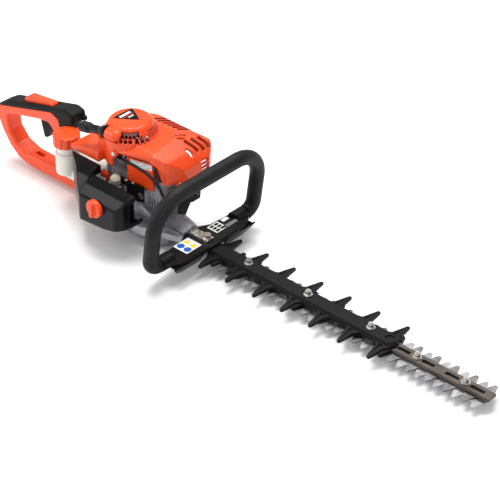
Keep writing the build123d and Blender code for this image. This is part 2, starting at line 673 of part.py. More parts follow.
def hood_slots():
    """Cooling slots in the top, the sloping front corner and the front face of the hood."""
    cut = [Pos(4 + 9 * i, 53 + 0.5 * i, HOOD_TOP) * Rot(0, 0, -28) * Box(6.0, 20, 24) for i in range(6)]
    cut += [Pos(84 - 2 * i, 60 - 11 * i, 142) * Rot(0, 0, 17) * Box(21, 6.0, 22) for i in range(3)]
    cut += [Pos(86, 27, 138) * Rot(0, 0, 17) * Box(10, 6.0, 16)]
    cut += [Pos(60 + 5 * i, 37 - 4 * i, HOOD_TOP) * Rot(0, 0, 56) * Box(17 - 5 * i, 2.4, 20) for i in range(2)]
    cut += [Pos(100, 46, 108 + 6 * i) * Box(12, 15, 3.0) for i in range(3)]
    return cut


def engine_cover():
    """One moulding: starter dome, hood over the cylinder, and the shelf above the air filter."""
    shelf = side([(-78, 111), (-20, 111), (-20, 126), (-38, 125), (-78, 117)], (-46, 16))
    shelf = fillet(shelf.edges().filter_by(lambda e: e.center().X < -70 and e.center().Z > 111.5), 2.5)
    boss = rod_x(9.5, (ROPE_START[0] + 1, 5), ROPE_Y, ROPE_START[1]) + Pos(5, ROPE_Y, ROPE_START[1]) * Sphere(9.5)
    body = hood_solid(0.0) + dome(0.0) + shelf - grip_space(0.0) + boss
    body -= (hood_solid(WALL) + dome(WALL)) - grip_space(WALL)
    body -= block((-75, -40), (-43, 13), (100, 114))
    body -= below_rim()
    body -= rod_x(2.6, (-14, 14), ROPE_Y, ROPE_START[1])
    body -= radial_slots(36, 162, (12, 4.4, 11), range(-64, -22, 9))
    body -= radial_slots(39.5, 152.5, (9, 4.6, 4.5), range(-76, -44, 10))
    body -= radial_slots(38.5, 155, (9, 5.0, 10), range(-32, 2, 12))
    body -= radial_slots(36.5, 160, (9, 1.8, 13), range(2, 56, 6))
    body -= hood_slots()
    body += rod_y(5.5, (-41.5, -36), 6, 133) + post(6.5, (100.5, HOOD_RIM), 97, -3)
    low, high = PULLEY_Z
    hub = post(4, (low - 2, DOME_TOP - WALL)) + post(8, (high + 4, DOME_TOP - WALL + 0.5))
    return body + hub + post(PULLEY_R, (high + 3.6, high + 4.8))


def cylinder_baffle():
    """Air guide between the fins and the near side of the hood."""
    outer = [(24, -33.0), (46, -28.4), (66, -24.3)]
    inner = [(x, y + 1.5) for x, y in outer]
    return plan(outer + inner[::-1], (88, 132))


def starter_pulley():
    low, high = PULLEY_Z
    return turned([(4 + FIT, low), (PULLEY_R, low), (PULLEY_R, low + 1.8), (CORE_R, low + 2.4),
                   (CORE_R, high - 2.4), (PULLEY_R, high - 1.8), (PULLEY_R, high), (4 + FIT, high)])


def wound_rope():
    """The turns of rope lying in the pulley groove."""
    low, high = PULLEY_Z
    return turned([(CORE_R + 0.1, low + 2.7), (ROPE_R, low + 2.3), (ROPE_R, high - 2.3), (CORE_R + 0.1, high - 2.7)])


def recoil_spring():
    low = PULLEY_Z[1] + 0.6
    rings = [post(r, (low, low + 2.6)) - post(r - 0.8, (low, low + 2.6)) for r in (21, 18, 15, 12)]
    return rings[0] + rings[1:] + block((11.5, 20.5), (-0.4, 0.4), (low, low + 2.6))


def starter_grip():
    """Pull grip lying in line with the rope."""
    length = 53.0
    body = turned([(0, 0), (9.3, 0), (9.3, 5), (8.0, 9), (6.4, 13), (6.2, 30), (8.2, 37), (8.2, length - 2),
                   (6.6, length), (0, length)])
    body -= block((-12, -6.6), (-12, 12), (34, length)) + block((6.6, 12), (-12, 12), (34, length))
    body -= post(1.8, (-1, length - 8))
    return grip_place() * body


def case_screws():
    """Socket screws of the gear case cover."""
    return [post(2.0, (17.4, 20.0), x, y) + post(3.4, (14.4, 17.4), x, y) - hex_nut(3.4, (14.4, 16.0), x, y)
            for x, y in CASE_SCREWS]


# ---------------------------------------------------------------- rear handle
def grip_top(x):
    """Height of the upper line of the rear grip."""
    return 139.6 + (x + 121) * tan(radians(GRIP_TOP_SLOPE))


def handle_body():
    """Whole D of the rear handle before it is divided into frame and upper shell."""
    outer = [(-274, 72), (-270, 93), (-249, grip_top(-249)), (-121, grip_top(-121)), (-107, 136), (-104, 120),
             (-119, 116), (-119, 22), (-38, 22), (-38, 8), (-207, 8), (-232, 14), (-250, 28), (-265, 50)]
    hole = [(-251, 79), (-245, 84.5), (-178, 101), (-160, 103), (-149, 92), (-149, 31), (-176, 28.5),
            (-210, 29), (-234, 37), (-248, 54)]
    body = side(outer, (-14, 14), 6) - side(hole, (-15, 15), 5)
    rims = body.edges().filter_by(lambda e: abs(abs(e.center().Y) - 14) < 0.01 and e.center().X < -100)
    return fillet(rims, 4.5)


def shell_zone():
    return side([(-300, 83), (-262, 93.5), (-152, 124.3), (-137, 118), (-133, 104), (-90, 104), (-90, 200),
                 (-300, 200)], (-20, 20))


def trigger_pocket():
    return side([(-190, 84), (-190, grip_top(-190) - 9), (-144, grip_top(-144) - 9), (-141, 116), (-141, 100),
                 (-150, 88)], (-7.5, 7.5))


def lockout_slot():
    return side([(-221, grip_top(-221) - 9), (-152, grip_top(-152) - 9), (-152, 150), (-221, 150)], (-7, 7))


def handle_cuts():
    x_trigger, z_trigger = TRIGGER_PIVOT
    x_lock, z_lock = LOCKOUT_PIVOT
    pins = rod_y(2.0, (-11, 11), x_trigger, z_trigger) + rod_y(1.8, (-11, 11), x_lock, z_lock)
    return [trigger_pocket(), lockout_slot(), pins, cable(THROTTLE_PATH, THROTTLE_BENDS, CABLE_R + 0.4)]


def handle_frame():
    body = handle_body() - shell_zone() - handle_cuts()
    for y in MOUNT_Y:
        body -= post(2.5, (5, 25), MOUNT_X, y)
    slot = Pos(-196, 0, 18) * Rot(0, -4, 0) * block((-9, 9), (-4, 4), (0, 20))
    return body - slot


def grip_shell():
    body = (handle_body() & shell_zone()) - handle_cuts()
    return body - block((-112, -95), (4.2, 7.8), (121.5, 132.5))


def pivot_pins():
    x_trigger, z_trigger = TRIGGER_PIVOT
    x_lock, z_lock = LOCKOUT_PIVOT
    return [rod_y(2.0, (-11, 11), x_trigger, z_trigger), rod_y(1.8, (-11, 11), x_lock, z_lock)]


def throttle_trigger():
    x, z = TRIGGER_PIVOT
    body = side([(-181, 104), (-184, 99), (-177.5, 70), (-171, 71), (-165, 84), (-156, 91), (-147, 98), (-145, 111),
                 (-152, 114), (-170, 109)], (-6.6, 6.6), 1.5)
    return body - rod_y(2.0 + FIT, (-10, 10), x, z)


def lockout_lever():
    x, z = LOCKOUT_PIVOT
    body = side([(-217, 114), (-216, 121.5), (-209, 126.5), (-161, 132.5), (-157, 129), (-158.5, 120.5),
                 (-167, 119)], (-6.4, 6.4), 1.5)
    return body - rod_y(1.8 + FIT, (-10, 10), x, z)


def stop_switch():
    return block((-103.6, -99), (3, 9), (124, 130)) + block((-110, -103), (4.6, 7.4), (125, 129))


def rubber_mounts():
    bushes = [post(6.5, (22, 26), MOUNT_X, y) - post(2.5, (21, 27), MOUNT_X, y) for y in MOUNT_Y]
    pads = [block((x, x + 12), (-9, 9), (22, 26)) for x in (-110, -76)]
    return bushes + pads


def mount_bolts():
    return [post(2.5, (8, 38), MOUNT_X, y) + hex_nut(8, (4.5, 8), MOUNT_X, y) + hex_nut(8, (33, 37), MOUNT_X, y)
            for y in MOUNT_Y]


# ---------------------------------------------------------------- front handle
def handle_point(y, rise):
    """Point of the front handle loop, whose plane leans forward."""
    lean = radians(HANDLE_LEAN)
    return (HANDLE_X + rise * sin(lean), y, HANDLE_Z + rise * cos(lean))


def front_handle_path():
    corners = [(66, 0), (HANDLE_HALF, 0), (HANDLE_HALF, HANDLE_RISE), (-HANDLE_HALF, HANDLE_RISE),
               (-HANDLE_HALF, 0), (-66, 0)]
    return FilletPolyline(*[handle_point(y, rise) for y, rise in corners], radius=[17, 50, 50, 17])


def front_handle_tube():
    return pipe(front_handle_path(), TUBE_R)


def front_handle_sleeve():
    return pipe(front_handle_path(), SLEEVE_R, TUBE_R) - block((100, 170), (-88, 88), (10, 60))


def handle_bracket():
    """Plate clamped on the gear case neck, with a socket for each end of the handle tube."""
    half = [(113, 0), (113, 14), (122, 30), (124, 62), (124, 84), (147, 84), (158, 68), (162, 44), (162, 0)]
    plate = plan(half + [(x, -y) for x, y in half[::-1][1:-1]], PLATE_Z)
    plate = fillet(plate.edges().filter_by(Axis.Z), 2.5)
    socket = block((125, 145.5), (64, 86), (HANDLE_Z - 9.8, HANDLE_Z + 9.8))
    socket = fillet(socket.edges().filter_by(Axis.Y), 7)
    plate += [socket, mirrored(socket)]
    rib = block((158, 160), (12, 60), (PLATE_Z[1], PLATE_Z[1] + 1.2))
    plate += [rib, mirrored(rib)]
    for x in STRAP_BOLT_X:
        plate -= post(3.05, PLATE_Z, x)
    return plate - rod_y(TUBE_R, (-90, -66), HANDLE_X, HANDLE_Z) - rod_y(TUBE_R, (66, 90), HANDLE_X, HANDLE_Z)


def hand_guard():
    """Skirt under the front edge of the bracket, open in the middle for the blades."""
    wall = side([(162, PLATE_Z[0]), (153.5, 12), (151, 12), (159, PLATE_Z[0])], (21, 82))
    lip = block((148, 160), (21, 78), (PLATE_Z[0] - 2, PLATE_Z[0]))
    shape = section([(21, 28), (24, 14), (38, 12), (62, 12.5), (74, 18), (82, 28)], (140, 170))
    half = (wall & shape) + (lip - block((100, 148), (50, 90), (10, 30)))
    return [half, mirrored(half)]


def clamp_strap():
    strap = block((114, 151), (-7.5, 7.5), STRAP_Z)
    for x in STRAP_BOLT_X:
        strap -= post(3.05, STRAP_Z, x)
    return strap


def strap_bolts():
    return [post(3, (BAR_Z[0] + 0.2, STRAP_Z[1]), x) + post(6.2, (STRAP_Z[1], STRAP_Z[1] + 1.4), x)
            + hex_nut(10, (STRAP_Z[1] + 1.4, STRAP_Z[1] + 6), x) for x in STRAP_BOLT_X]


# ---------------------------------------------------------------- writing the pieces
PIECES = (upper_blade, lower_blade, guide_bar, comb, blade_bolts, blade_nuts,
          gear_case, gear_case_cover, clutch_drum, cam_gear, clutch_shoes,
          crankcase_lower, crankcase_upper, crank_bearings, crankshaft, con_rod, piston, piston_rings,
          cylinder, spark_plug, plug_boot, ignition_coil, ignition_lead, flywheel,
          muffler, muffler_guard, intake_insulator, carburettor, throttle_arm, choke_lever, purge_bulb,
          air_filter_base, air_filter_element, air_filter_cover, cover_knob,
          fuel_tank, fuel_cap, fuel_line, engine_cover, cylinder_baffle, case_screws,
          recoil_spring, starter_pulley, wound_rope, starter_grip,
          handle_frame, grip_shell, throttle_trigger, lockout_lever, stop_switch, pivot_pins, throttle_cable,
          rubber_mounts, mount_bolts, front_handle_tube, front_handle_sleeve, handle_bracket, hand_guard,
          clamp_strap, strap_bolts)

os.makedirs("parts", exist_ok=True)
for make_piece in PIECES:
    shape = make_piece()
    if isinstance(shape, list):
        shape = Compound(children=shape)
    export_step(shape, f"parts/{make_piece.__name__}.step")
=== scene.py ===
import bpy
import bmesh
import json
from math import cos, pi, radians, sin
from mathutils import Matrix, Vector


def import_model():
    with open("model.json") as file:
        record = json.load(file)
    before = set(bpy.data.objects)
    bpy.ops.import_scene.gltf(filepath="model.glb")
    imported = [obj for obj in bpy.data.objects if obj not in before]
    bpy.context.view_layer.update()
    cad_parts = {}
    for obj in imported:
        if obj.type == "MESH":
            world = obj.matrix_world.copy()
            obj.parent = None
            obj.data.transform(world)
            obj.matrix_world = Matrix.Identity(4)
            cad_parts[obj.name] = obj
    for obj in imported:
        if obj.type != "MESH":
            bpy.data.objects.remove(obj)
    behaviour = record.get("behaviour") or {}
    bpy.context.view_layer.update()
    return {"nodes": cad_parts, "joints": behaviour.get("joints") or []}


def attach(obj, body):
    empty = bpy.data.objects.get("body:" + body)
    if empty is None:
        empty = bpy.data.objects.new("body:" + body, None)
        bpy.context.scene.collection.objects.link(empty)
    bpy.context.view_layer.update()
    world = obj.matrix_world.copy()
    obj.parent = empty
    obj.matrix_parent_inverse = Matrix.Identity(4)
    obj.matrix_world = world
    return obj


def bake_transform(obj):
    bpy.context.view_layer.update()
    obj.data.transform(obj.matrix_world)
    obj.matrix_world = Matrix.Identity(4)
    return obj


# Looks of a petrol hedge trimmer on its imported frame.  Metres; +X along the blade, +Y to the operator's
# left, +Z up, origin under the crankshaft on the flat foot of the gear case.

# ---------------------------------------------------------------- colours (linear)
ORANGE = (0.76, 0.062, 0.009)
ORANGE_DARK = (0.70, 0.055, 0.010)
BLACK = (0.0045, 0.0045, 0.005)
CAST = (0.50, 0.50, 0.54)
ZINC = (0.56, 0.55, 0.50)
STEEL = (0.47, 0.47, 0.48)

# ---------------------------------------------------------------- places (metres)
UP = (0.0, 0.0, 1.0)
NEAR = (0.0, -1.0, 0.0)       # towards the operator's right, the side with the air filter
DOME_TOP = 0.17
BRACKET_TOP = 0.032
LABEL_FILM = 0.00012          # thickness of every label
BAFFLE_NORMAL = (0.2028, -0.979, 0.0)
ROPE_OUTLET = (-0.0110, -0.0340, 0.1575)
ROPE_INSIDE = (0.0040, -0.0340, 0.1575)
ROPE_RADIUS = 0.0015
ROPE_STEPS = (0.004, 0.012, 0.032)   # along the pull

# ---------------------------------------------------------------- camera
CAMERA_PLACE = (1.7004, -1.6151, 1.5728)
CAMERA_TOWARD = (-0.5536, 0.6062, -0.5710)
CAMERA_ROLL = -0.07           # degrees
CAMERA_LENS = 140.5           # millimetres on a 36 mm sensor


# ---------------------------------------------------------------- materials
class Recipe:
    """Small helper around one node tree."""

    def __init__(self, name):
        self.material = bpy.data.materials.new(name)
        self.material.use_nodes = True
        self.tree = self.material.node_tree
        self.shader = self.tree.nodes["Principled BSDF"]
        coordinates = self.tree.nodes.new("ShaderNodeTexCoord")
        self.place = coordinates.outputs["Object"]

    def node(self, kind, **values):
        made = self.tree.nodes.new(kind)
        for key, value in values.items():
            setattr(made, key, value)
        return made

    def link(self, output, socket):
        self.tree.links.new(output, socket)

    def noise(self, scale, detail=4.0, stretch=None):
        """Noise over the object's own coordinates, per metre; stretch scales the three axes."""
        texture = self.node("ShaderNodeTexNoise")
        texture.inputs["Scale"].default_value = scale
        texture.inputs["Detail"].default_value = detail
        place = self.place
        if stretch:
            mapping = self.node("ShaderNodeMapping")
            mapping.inputs["Scale"].default_value = stretch
            self.link(self.place, mapping.inputs["Vector"])
            place = mapping.outputs["Vector"]
        self.link(place, texture.inputs["Vector"])
        return texture.outputs["Fac"]

    def ramp(self, source, stops):
        """Colour ramp from (position, colour or grey value) stops."""
        made = self.node("ShaderNodeValToRGB")
        points = made.color_ramp.elements
        while len(points) < len(stops):
            points.new(0.5)
        for point, (position, value) in zip(points, stops):
            point.position = position
            rgb = (value, value, value) if isinstance(value, float) else value
            point.color = (*rgb, 1.0)
        self.link(source, made.inputs["Fac"])
        return made.outputs["Color"]

    def edges(self, radius):
        """How well a rounded normal agrees with the true one: 1 on open ground, less along edges."""
        geometry = self.node("ShaderNodeNewGeometry")
        dot = self.node("ShaderNodeVectorMath", operation="DOT_PRODUCT")
        self.link(self.rounded(radius, 4), dot.inputs[0])
        self.link(geometry.outputs["Normal"], dot.inputs[1])
        return dot.outputs["Value"]

    def mix(self, factor, first, second):
        made = self.node("ShaderNodeMix", data_type="RGBA")
        self.link(factor, made.inputs["Factor"])
        for socket, value in ((made.inputs["A"], first), (made.inputs["B"], second)):
            if isinstance(value, tuple):
                socket.default_value = (*value, 1.0)
            else:
                self.link(value, socket)
        return made.outputs["Result"]

    def rounded(self, radius, samples=8):
        """Normal that runs smoothly over every edge within the radius."""
        bevel = self.node("ShaderNodeBevel", samples=samples)
        bevel.inputs["Radius"].default_value = radius
        return bevel.outputs["Normal"]

    def bump(self, sources, distance=0.0002, normal=None):
        """Stack of (height output, strength) bumps over a normal."""
        for height, strength in sources:
            made = self.node("ShaderNodeBump")
            made.inputs["Strength"].default_value = strength
            made.inputs["Distance"].default_value = distance
            self.link(height, made.inputs["Height"])
            if normal:
                self.link(normal, made.inputs["Normal"])
            normal = made.outputs["Normal"]
        self.link(normal, self.shader.inputs["Normal"])

    def surface(self, colour, roughness, metallic=0.0):
        self.link(colour, self.shader.inputs["Base Color"])
        self.link(roughness, self.shader.inputs["Roughness"])
        self.shader.inputs["Metallic"].default_value = metallic


def shade(colour, factor):
    return tuple(min(1.0, c * factor) for c in colour)


def moulded(name, colour, rough, grain=0.12, coat=0.0, worn=1.35, specular=0.3, soft=0.0008):
    """Moulded plastic: faint flow marks, fine texture, paler worn edges."""
    r = Recipe(name)
    cloud = r.noise(28.0, 3.0)
    fine = r.noise(2600.0, 2.0)
    base = r.ramp(cloud, ((0.3, shade(colour, 0.9)), (0.7, shade(colour, 1.08))))
    wear = r.ramp(r.edges(0.0006), ((0.90, 1.0), (0.99, 0.0)))
    patch = r.ramp(r.noise(160.0, 5.0), ((0.48, 0.0), (0.62, 0.6)))
    mask = r.node("ShaderNodeMath", operation="MULTIPLY")
    r.link(wear, mask.inputs[0])
    r.link(patch, mask.inputs[1])
    colour_out = r.mix(mask.outputs["Value"], base, shade(colour, worn))
    r.surface(colour_out, r.ramp(r.noise(90.0, 5.0), ((0.3, rough * 0.85), (0.7, min(1.0, rough * 1.2)))))
    r.bump(((fine, grain), (cloud, 0.05)), normal=r.rounded(soft))
    r.shader.inputs["Specular IOR Level"].default_value = specular
    r.shader.inputs["Coat Weight"].default_value = coat
    r.shader.inputs["Coat Roughness"].default_value = 0.08
    return r.material


def rubber(name, colour, rough=0.62, grain=0.35):
    r = Recipe(name)
    speck = r.noise(1500.0, 6.0)
    dust = r.ramp(r.noise(60.0, 6.0), ((0.4, shade(colour, 0.85)), (0.75, shade(colour, 1.6))))
    r.surface(dust, r.ramp(speck, ((0.35, rough * 0.85), (0.7, min(1.0, rough * 1.25)))))
    r.bump(((speck, grain),))
    r.shader.inputs["Specular IOR Level"].default_value = 0.14
    return r.material


def ribbed(name, colour, period):
    """Rubber with ribs across the X direction, as on the sleeve of a cable; painted shade darkens the
    grooves and the crests are painted paler.
    """
    r = Recipe(name)
    wave = r.node("ShaderNodeTexWave")
    wave.inputs["Scale"].default_value = pi / 10 / period
    r.link(r.place, wave.inputs["Vector"])
    # painted shade and highlight: the colour follows the rib wave, dark in the grooves and pale on the
    # crests
    r.surface(r.ramp(wave.outputs["Fac"], ((0.2, shade(colour, 0.6)), (0.8, shade(colour, 2.2)))),
              r.ramp(r.noise(900.0, 4.0), ((0.3, 0.38), (0.7, 0.6))))
    r.bump(((wave.outputs["Fac"], 0.8),), 0.0005)
    r.shader.inputs["Specular IOR Level"].default_value = 0.2
    return r.material


def cast_metal(name, colour, rough=0.5, grain=0.45):
    """Die-cast alloy with a fine sandy skin, a little oil stain and a painted highlight along every edge."""
    r = Recipe(name)
    skin = r.noise(1300.0, 5.0)
    stain = r.ramp(r.noise(40.0, 6.0),
                   ((0.38, shade(colour, 0.62)), (0.6, colour), (0.8, shade(colour, 1.15))))
    # painted highlight: every edge is mixed to a paler colour, standing in for light caught on the rims
    painted_edge_highlight = r.ramp(r.edges(0.0005), ((0.90, 1.0), (0.99, 0.0)))
    r.surface(r.mix(painted_edge_highlight, stain, shade(colour, 1.6)),
              r.ramp(skin, ((0.3, rough * 0.8), (0.7, rough * 1.25))), 0.75)
    r.bump(((skin, grain),))
    return r.material


def brushed(name, colour, rough=0.33, stretch=(6.0, 160.0, 160.0), dirt=0.55):
    """Ground or rolled steel with marks along one axis and duller patches."""
    r = Recipe(name)
    marks = r.noise(14.0, 8.0, stretch)
    patches = r.noise(55.0, 7.0)
    base = r.ramp(patches, ((0.35, shade(colour, dirt)), (0.65, colour)))
    lines = r.ramp(marks, ((0.35, 0.72), (0.65, 1.0)))
    product = r.node("ShaderNodeMix", data_type="RGBA", blend_type="MULTIPLY")
    product.inputs["Factor"].default_value = 1.0
    r.link(base, product.inputs["A"])
    r.link(lines, product.inputs["B"])
    r.surface(product.outputs["Result"], r.ramp(marks, ((0.3, rough * 0.7), (0.7, rough * 1.5))), 1.0)
    r.bump(((marks, 0.12),))
    return r.material


def zinc(name, colour=ZINC, rough=0.28):
    """Passivated zinc plating: faint yellow clouds."""
    r = Recipe(name)
    tint = r.ramp(r.noise(220.0, 3.0), ((0.3, shade(colour, 0.8)), (0.5, colour), (0.7, (0.6, 0.53, 0.34))))
    r.surface(tint, r.ramp(r.noise(700.0, 4.0), ((0.3, rough * 0.7), (0.7, rough * 1.5))), 1.0)
    r.bump(((r.noise(1800.0, 3.0), 0.12),))
    return r.material


def foam(name, colour):
    r = Recipe(name)
    cells = r.node("ShaderNodeTexVoronoi")
    cells.inputs["Scale"].default_value = 900.0
    r.link(r.place, cells.inputs["Vector"])
    # painted shade: the colour darkens towards each cell centre, in the pits that the bump sinks
    r.surface(r.ramp(cells.outputs["Distance"], ((0.1, shade(colour, 0.3)), (0.5, colour))),
              r.ramp(r.noise(300.0), ((0.3, 0.85), (0.7, 1.0))))
    r.bump(((cells.outputs["Distance"], 0.9),), 0.0006)
    return r.material


def milky(name, colour, clear=0.25):
    """Translucent tank plastic or a clear squeeze bulb."""
    r = Recipe(name)
    cloud = r.noise(45.0, 4.0)
    r.surface(r.ramp(cloud, ((0.3, shade(colour, 0.88)), (0.7, colour))),
              r.ramp(cloud, ((0.3, 0.3), (0.7, 0.42))))
    r.bump(((r.noise(1500.0, 3.0), 0.1),))
    r.shader.inputs["Transmission Weight"].default_value = clear
    r.shader.inputs["Subsurface Weight"].default_value = 0.2
    r.shader.inputs["Subsurface Scale"].default_value = 0.004
    return r.material


def braid(name, colour):
    r = Recipe(name)
    wave = r.node("ShaderNodeTexWave", bands_direction="DIAGONAL")
    wave.inputs["Scale"].default_value = 260.0
    wave.inputs["Distortion"].default_value = 1.5
    r.link(r.place, wave.inputs["Vector"])
    # painted shade: the colour darkens in the wave troughs between strands, where the bump sinks
    r.surface(r.ramp(wave.outputs["Fac"], ((0.2, shade(colour, 0.5)), (0.8, colour))),
              r.ramp(wave.outputs["Fac"], ((0.2, 0.95), (0.8, 0.75))))
    r.bump(((wave.outputs["Fac"], 0.8),), 0.0004)
    return r.material


def heat_stained(name):
    """Muffler steel, blued and browned in random bands."""
    r = Recipe(name)
    bands = r.ramp(r.noise(34.0, 4.0),
                   ((0.3, (0.10, 0.07, 0.05)), (0.5, (0.24, 0.20, 0.16)), (0.7, (0.15, 0.16, 0.20))))
    r.surface(bands, r.ramp(r.noise(400.0, 5.0), ((0.3, 0.35), (0.7, 0.6))), 1.0)
    r.bump(((r.noise(900.0, 5.0), 0.25),))
    return r.material


def make_materials():
    return {
        "orange": moulded("orange_plastic", ORANGE, 0.26, 0.08, 0.12, soft=0.004),
        "orange_fine": moulded("orange_fine", ORANGE_DARK, 0.38, 0.16),
        "grip": rubber("soft_grip", BLACK, 0.55, 0.5),
        "black_matt": moulded("black_matt", shade(BLACK, 1.3), 0.50, 0.35, worn=4.0, specular=0.12),
        "black_gloss": moulded("black_gloss", BLACK, 0.16, 0.03, 0.06, 3.0, 0.10, soft=0.005),
        "black_satin": moulded("black_satin", BLACK, 0.30, 0.2, 0.0, 5.0, 0.18),
        "coated": moulded("powder_coat", BLACK, 0.34, 0.5, 0.0, 6.0, 0.14),
        "sleeve": rubber("handle_sleeve", (0.010, 0.010, 0.0105), 0.5, 0.55),
        "ribbed": ribbed("ribbed_lead", BLACK, 0.0026),
        "rubber": rubber("black_rubber", BLACK),
        "cast": cast_metal("cast_alloy", CAST),
        "cast_dark": cast_metal("cast_alloy_dark", shade(CAST, 0.7)),
        "steel": brushed("ground_steel", STEEL),
        "blade_low": brushed("lower_blade_steel", (0.50, 0.50, 0.51), 0.34),
        "blade_up": brushed("upper_blade_steel", (0.28, 0.28, 0.29), 0.36),
        "bar": brushed("guide_bar_steel", (0.135, 0.12, 0.105), 0.5, dirt=0.7),
        "zinc": zinc("zinc_plate"),
        "zinc_pale": zinc("zinc_pale", (0.62, 0.62, 0.61), 0.24),
        "heat": heat_stained("heat_stained_steel"),
        "tank": milky("tank_plastic", (0.78, 0.76, 0.69), 0.12),
        "bulb": milky("bulb_plastic", (0.85, 0.80, 0.62), 0.55),
        "foam": foam("filter_foam", (0.035, 0.045, 0.07)),
        "rope": braid("starter_rope", (0.55, 0.55, 0.55)),
        "hose": rubber("fuel_hose", (0.16, 0.14, 0.03), 0.4, 0.15),
        "paper": moulded("label_white", (0.72, 0.72, 0.70), 0.35, 0.05),
        "yellow": moulded("label_yellow", (0.80, 0.62, 0.02), 0.35, 0.05),
        "blue": moulded("label_blue", (0.015, 0.09, 0.42), 0.35, 0.05),
        "grey": moulded("label_grey", (0.16, 0.17, 0.18), 0.35, 0.05),
        "white_bar": moulded("badge_bar", (0.6, 0.6, 0.6), 0.3, 0.05),
    }


NODE_LOOK = {
    "orange": ("engine_cover", "cylinder_baffle", "handle_frame", "cover_knob", "fuel_cap", "lockout_lever"),
    "orange_fine": ("choke_lever",),
    "grip": ("grip_shell",),
    "black_matt": ("comb", "throttle_trigger", "stop_switch", "muffler_guard", "intake_insulator",
                   "ignition_coil", "starter_pulley", "air_filter_base"),
    "black_gloss": ("air_filter_cover", "hand_guard"),
    "black_satin": ("starter_grip",),
    "coated": ("handle_bracket", "front_handle_tube"),
    "sleeve": ("front_handle_sleeve",),
    "rubber": ("plug_boot", "throttle_cable", "rubber_mounts"),
    "ribbed": ("ignition_lead",),
    "cast": ("gear_case", "crankcase_lower", "crankcase_upper", "cylinder", "carburettor", "flywheel",
             "piston"),
    "cast_dark": ("gear_case_cover", "clutch_shoes"),
    "steel": ("clutch_drum", "cam_gear", "crankshaft", "crank_bearings", "con_rod", "piston_rings",
              "pivot_pins", "recoil_spring"),
    "blade_low": ("lower_blade",),
    "blade_up": ("upper_blade",),
    "bar": ("guide_bar",),
    "zinc": ("clamp_strap", "throttle_arm"),
    "zinc_pale": ("blade_bolts", "blade_nuts", "strap_bolts", "case_screws", "mount_bolts", "spark_plug"),
    "heat": ("muffler",),
    "tank": ("fuel_tank",),
    "bulb": ("purge_bulb",),
    "foam": ("air_filter_element",),
    "rope": ("wound_rope",),
    "hose": ("fuel_line",),
}


def dress_nodes(frame, looks):
    """Gives every CAD node its material."""
    for look, names in NODE_LOOK.items():
        for name in names:
            node = frame["nodes"][name]
            node.data.materials.clear()
            node.data.materials.append(looks[look])


# ---------------------------------------------------------------- small pieces
def finish_piece(work, name, look, smooth=False):
    """Turns a filled bmesh into a piece that rides on the frame body."""
    for face in work.faces:
        face.smooth = smooth
    mesh = bpy.data.meshes.new(name)
    work.to_mesh(mesh)
    work.free()
    piece = bpy.data.objects.new(name, mesh)
    bpy.context.scene.collection.objects.link(piece)
    mesh.materials.append(look)
    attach(piece, "frame")


def plate(corners, thickness, place):
    """bmesh of a flat plate from 2-D corners, its underside in the XY plane of place."""
    work = bmesh.new()
    face = work.faces.new([work.verts.new((x, y, 0.0)) for x, y in corners])
    moved = bmesh.ops.extrude_face_region(work, geom=[face])
    tops = [v for v in moved["geom"] if isinstance(v, bmesh.types.BMVert)]
    bmesh.ops.translate(work, verts=tops, vec=(0.0, 0.0, thickness))
    bmesh.ops.recalc_face_normals(work, faces=work.faces)
    bmesh.ops.transform(work, matrix=place, verts=work.verts)
    return work


def rounded_corners(width, height, radius, steps=5):
    """Corner points of a rounded rectangle about the origin."""
    points = []
    for k, (sx, sy) in enumerate(((1, 1), (-1, 1), (-1, -1), (1, -1))):
        cx, cy = sx * (width / 2 - radius), sy * (height / 2 - radius)
        for i in range(steps + 1):
            angle = pi / 2 * (k + i / steps)
            points.append((cx + radius * cos(angle), cy + radius * sin(angle)))
    return points


def disc_corners(radius, x=0.0, y=0.0, count=28):
    angles = [2 * pi * i / count for i in range(count)]
    return [(x + radius * cos(angle), y + radius * sin(angle)) for angle in angles]


def skin_loops(work, loops):
    """Faces between each loop of vertices and the next."""
    for low, high in zip(loops, loops[1:]):
        for i in range(len(low)):
            after = (i + 1) % len(low)
            work.faces.new((low[i], low[after], high[after], high[i]))


def facing(point, normal, along=(1.0, 0.0, 0.0)):
    """Frame with its Z on the surface normal and its X as near as possible to a direction."""
    z = Vector(normal).normalized()
    x = (Vector(along) - Vector(along).dot(z) * z).normalized()
    y = z.cross(x)
    turn = Matrix((x, y, z)).transposed().to_4x4()
    return Matrix.Translation(Vector(point)) @ turn


def screw_head(name, point, normal, radius, look):
    """Domed screw head with a round socket."""
    work = bmesh.new()
    rings = ((radius, 0.0), (radius, 0.0008), (radius * 0.88, 0.0016), (radius * 0.5, 0.0020),
             (radius * 0.5, 0.0006))
    loops = [[work.verts.new((x, y, height)) for x, y in disc_corners(wide, count=24)]
             for wide, height in rings]
    skin_loops(work, loops)
    work.faces.new(loops[-1])
    work.faces.new(loops[0][::-1])
    bmesh.ops.transform(work, matrix=facing(point, normal), verts=work.verts)
    finish_piece(work, name, look, smooth=True)


def sticker(name, corners, place, look):
    """Thin label cut to a 2-D outline; place has its Z on the surface normal."""
    finish_piece(plate(corners, LABEL_FILM, place), name, look)


def shield_corners(corners, bulge=0.10, steps=8):
    """Outline through three corners with every side bowed outwards."""
    centre = (sum(x for x, y in corners) / 3, sum(y for x, y in corners) / 3)
    points = []
    for (x0, y0), (x1, y1) in zip(corners, corners[1:] + corners[:1]):
        for i in range(steps):
            t = i / steps
            x, y = x0 + (x1 - x0) * t, y0 + (y1 - y0) * t
            push = 1.0 + bulge * 4 * t * (1 - t)
            points.append((centre[0] + (x - centre[0]) * push, centre[1] + (y - centre[1]) * push))
    return points


def bar_corners(width, length, x, y):
    return [(x + sx * width / 2, y + sy * length / 2) for sx, sy in ((-1, -1), (1, -1), (1, 1), (-1, 1))]


